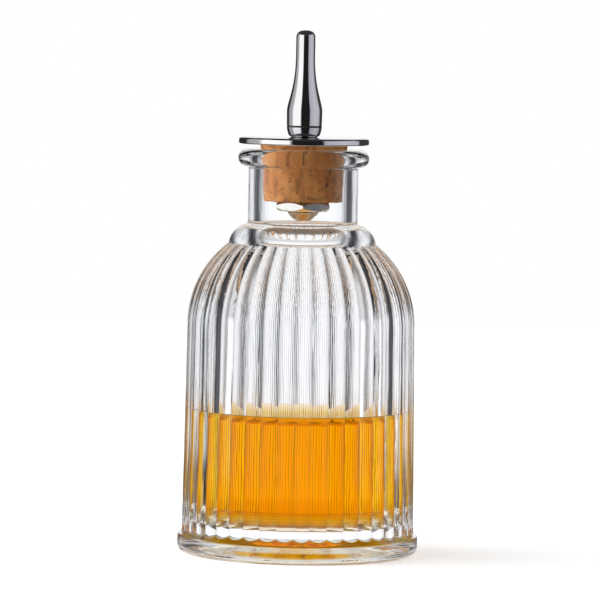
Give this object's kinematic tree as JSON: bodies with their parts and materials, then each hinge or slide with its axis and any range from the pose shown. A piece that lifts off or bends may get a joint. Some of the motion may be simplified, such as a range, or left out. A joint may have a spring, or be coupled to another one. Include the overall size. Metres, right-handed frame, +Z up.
{
  "type": "bitters bottle",
  "caption": "Fluted glass bitters bottle on a wide foot, part filled, closed by a tapered cork with a metal dasher: cap plate, screwed spout, gasket, threaded stem and nut.",
  "frame": {"origin": "middle of the underside, on the plane that the foot stands on", "axes": "+Z up the bottle's axis to the spout's tip, -Y the front as pictured, a corner of the nut on -Y"},
  "size_m": [0.06, 0.06, 0.1306],
  "materials": {
    "clear_glass": "polished",
    "bitters": "clear liquid",
    "cork": "natural cork",
    "plated_metal": "polished",
    "nut_steel": "bright",
    "stem_brass": "dull",
    "gasket_rubber": "matt"
  },
  "bodies": {
    "bottle": {"glass_bottle": "clear_glass", "bitters_fill": "bitters"},
    "cork": {"cork_stopper": "cork"},
    "dasher": {"cap_plate": "plated_metal", "threaded_stem": "stem_brass", "hex_nut": "nut_steel", "spout_seat": "plated_metal"},
    "gasket": {"spout_gasket": "gasket_rubber"},
    "spout": {"dash_spout": "plated_metal"}
  },
  "joints": [
    {"name": "stopper_lift", "type": "slide", "parent": "bottle", "child": "cork", "axis": [0, 0, 1], "range_m": [0, 0.06]},
    {"name": "dasher_swivel", "type": "hinge", "parent": "cork", "child": "dasher", "pos_m": [0, 0, 0.1022], "axis": [0, 0, 1], "continuous": true},
    {"name": "spout_rise", "type": "slide", "parent": "dasher", "child": "gasket", "axis": [0, 0, 1], "range_m": [0, 0.00375]},
    {"name": "spout_turn", "type": "hinge", "parent": "gasket", "child": "spout", "pos_m": [0, 0, 0.1067], "axis": [0, 0, 1], "range_deg": [0, 1800]}
  ],
  "couplings": [
    {"joint": "spout_turn", "follows": "spout_rise", "rad_per_m": 8377.6}
  ]
}
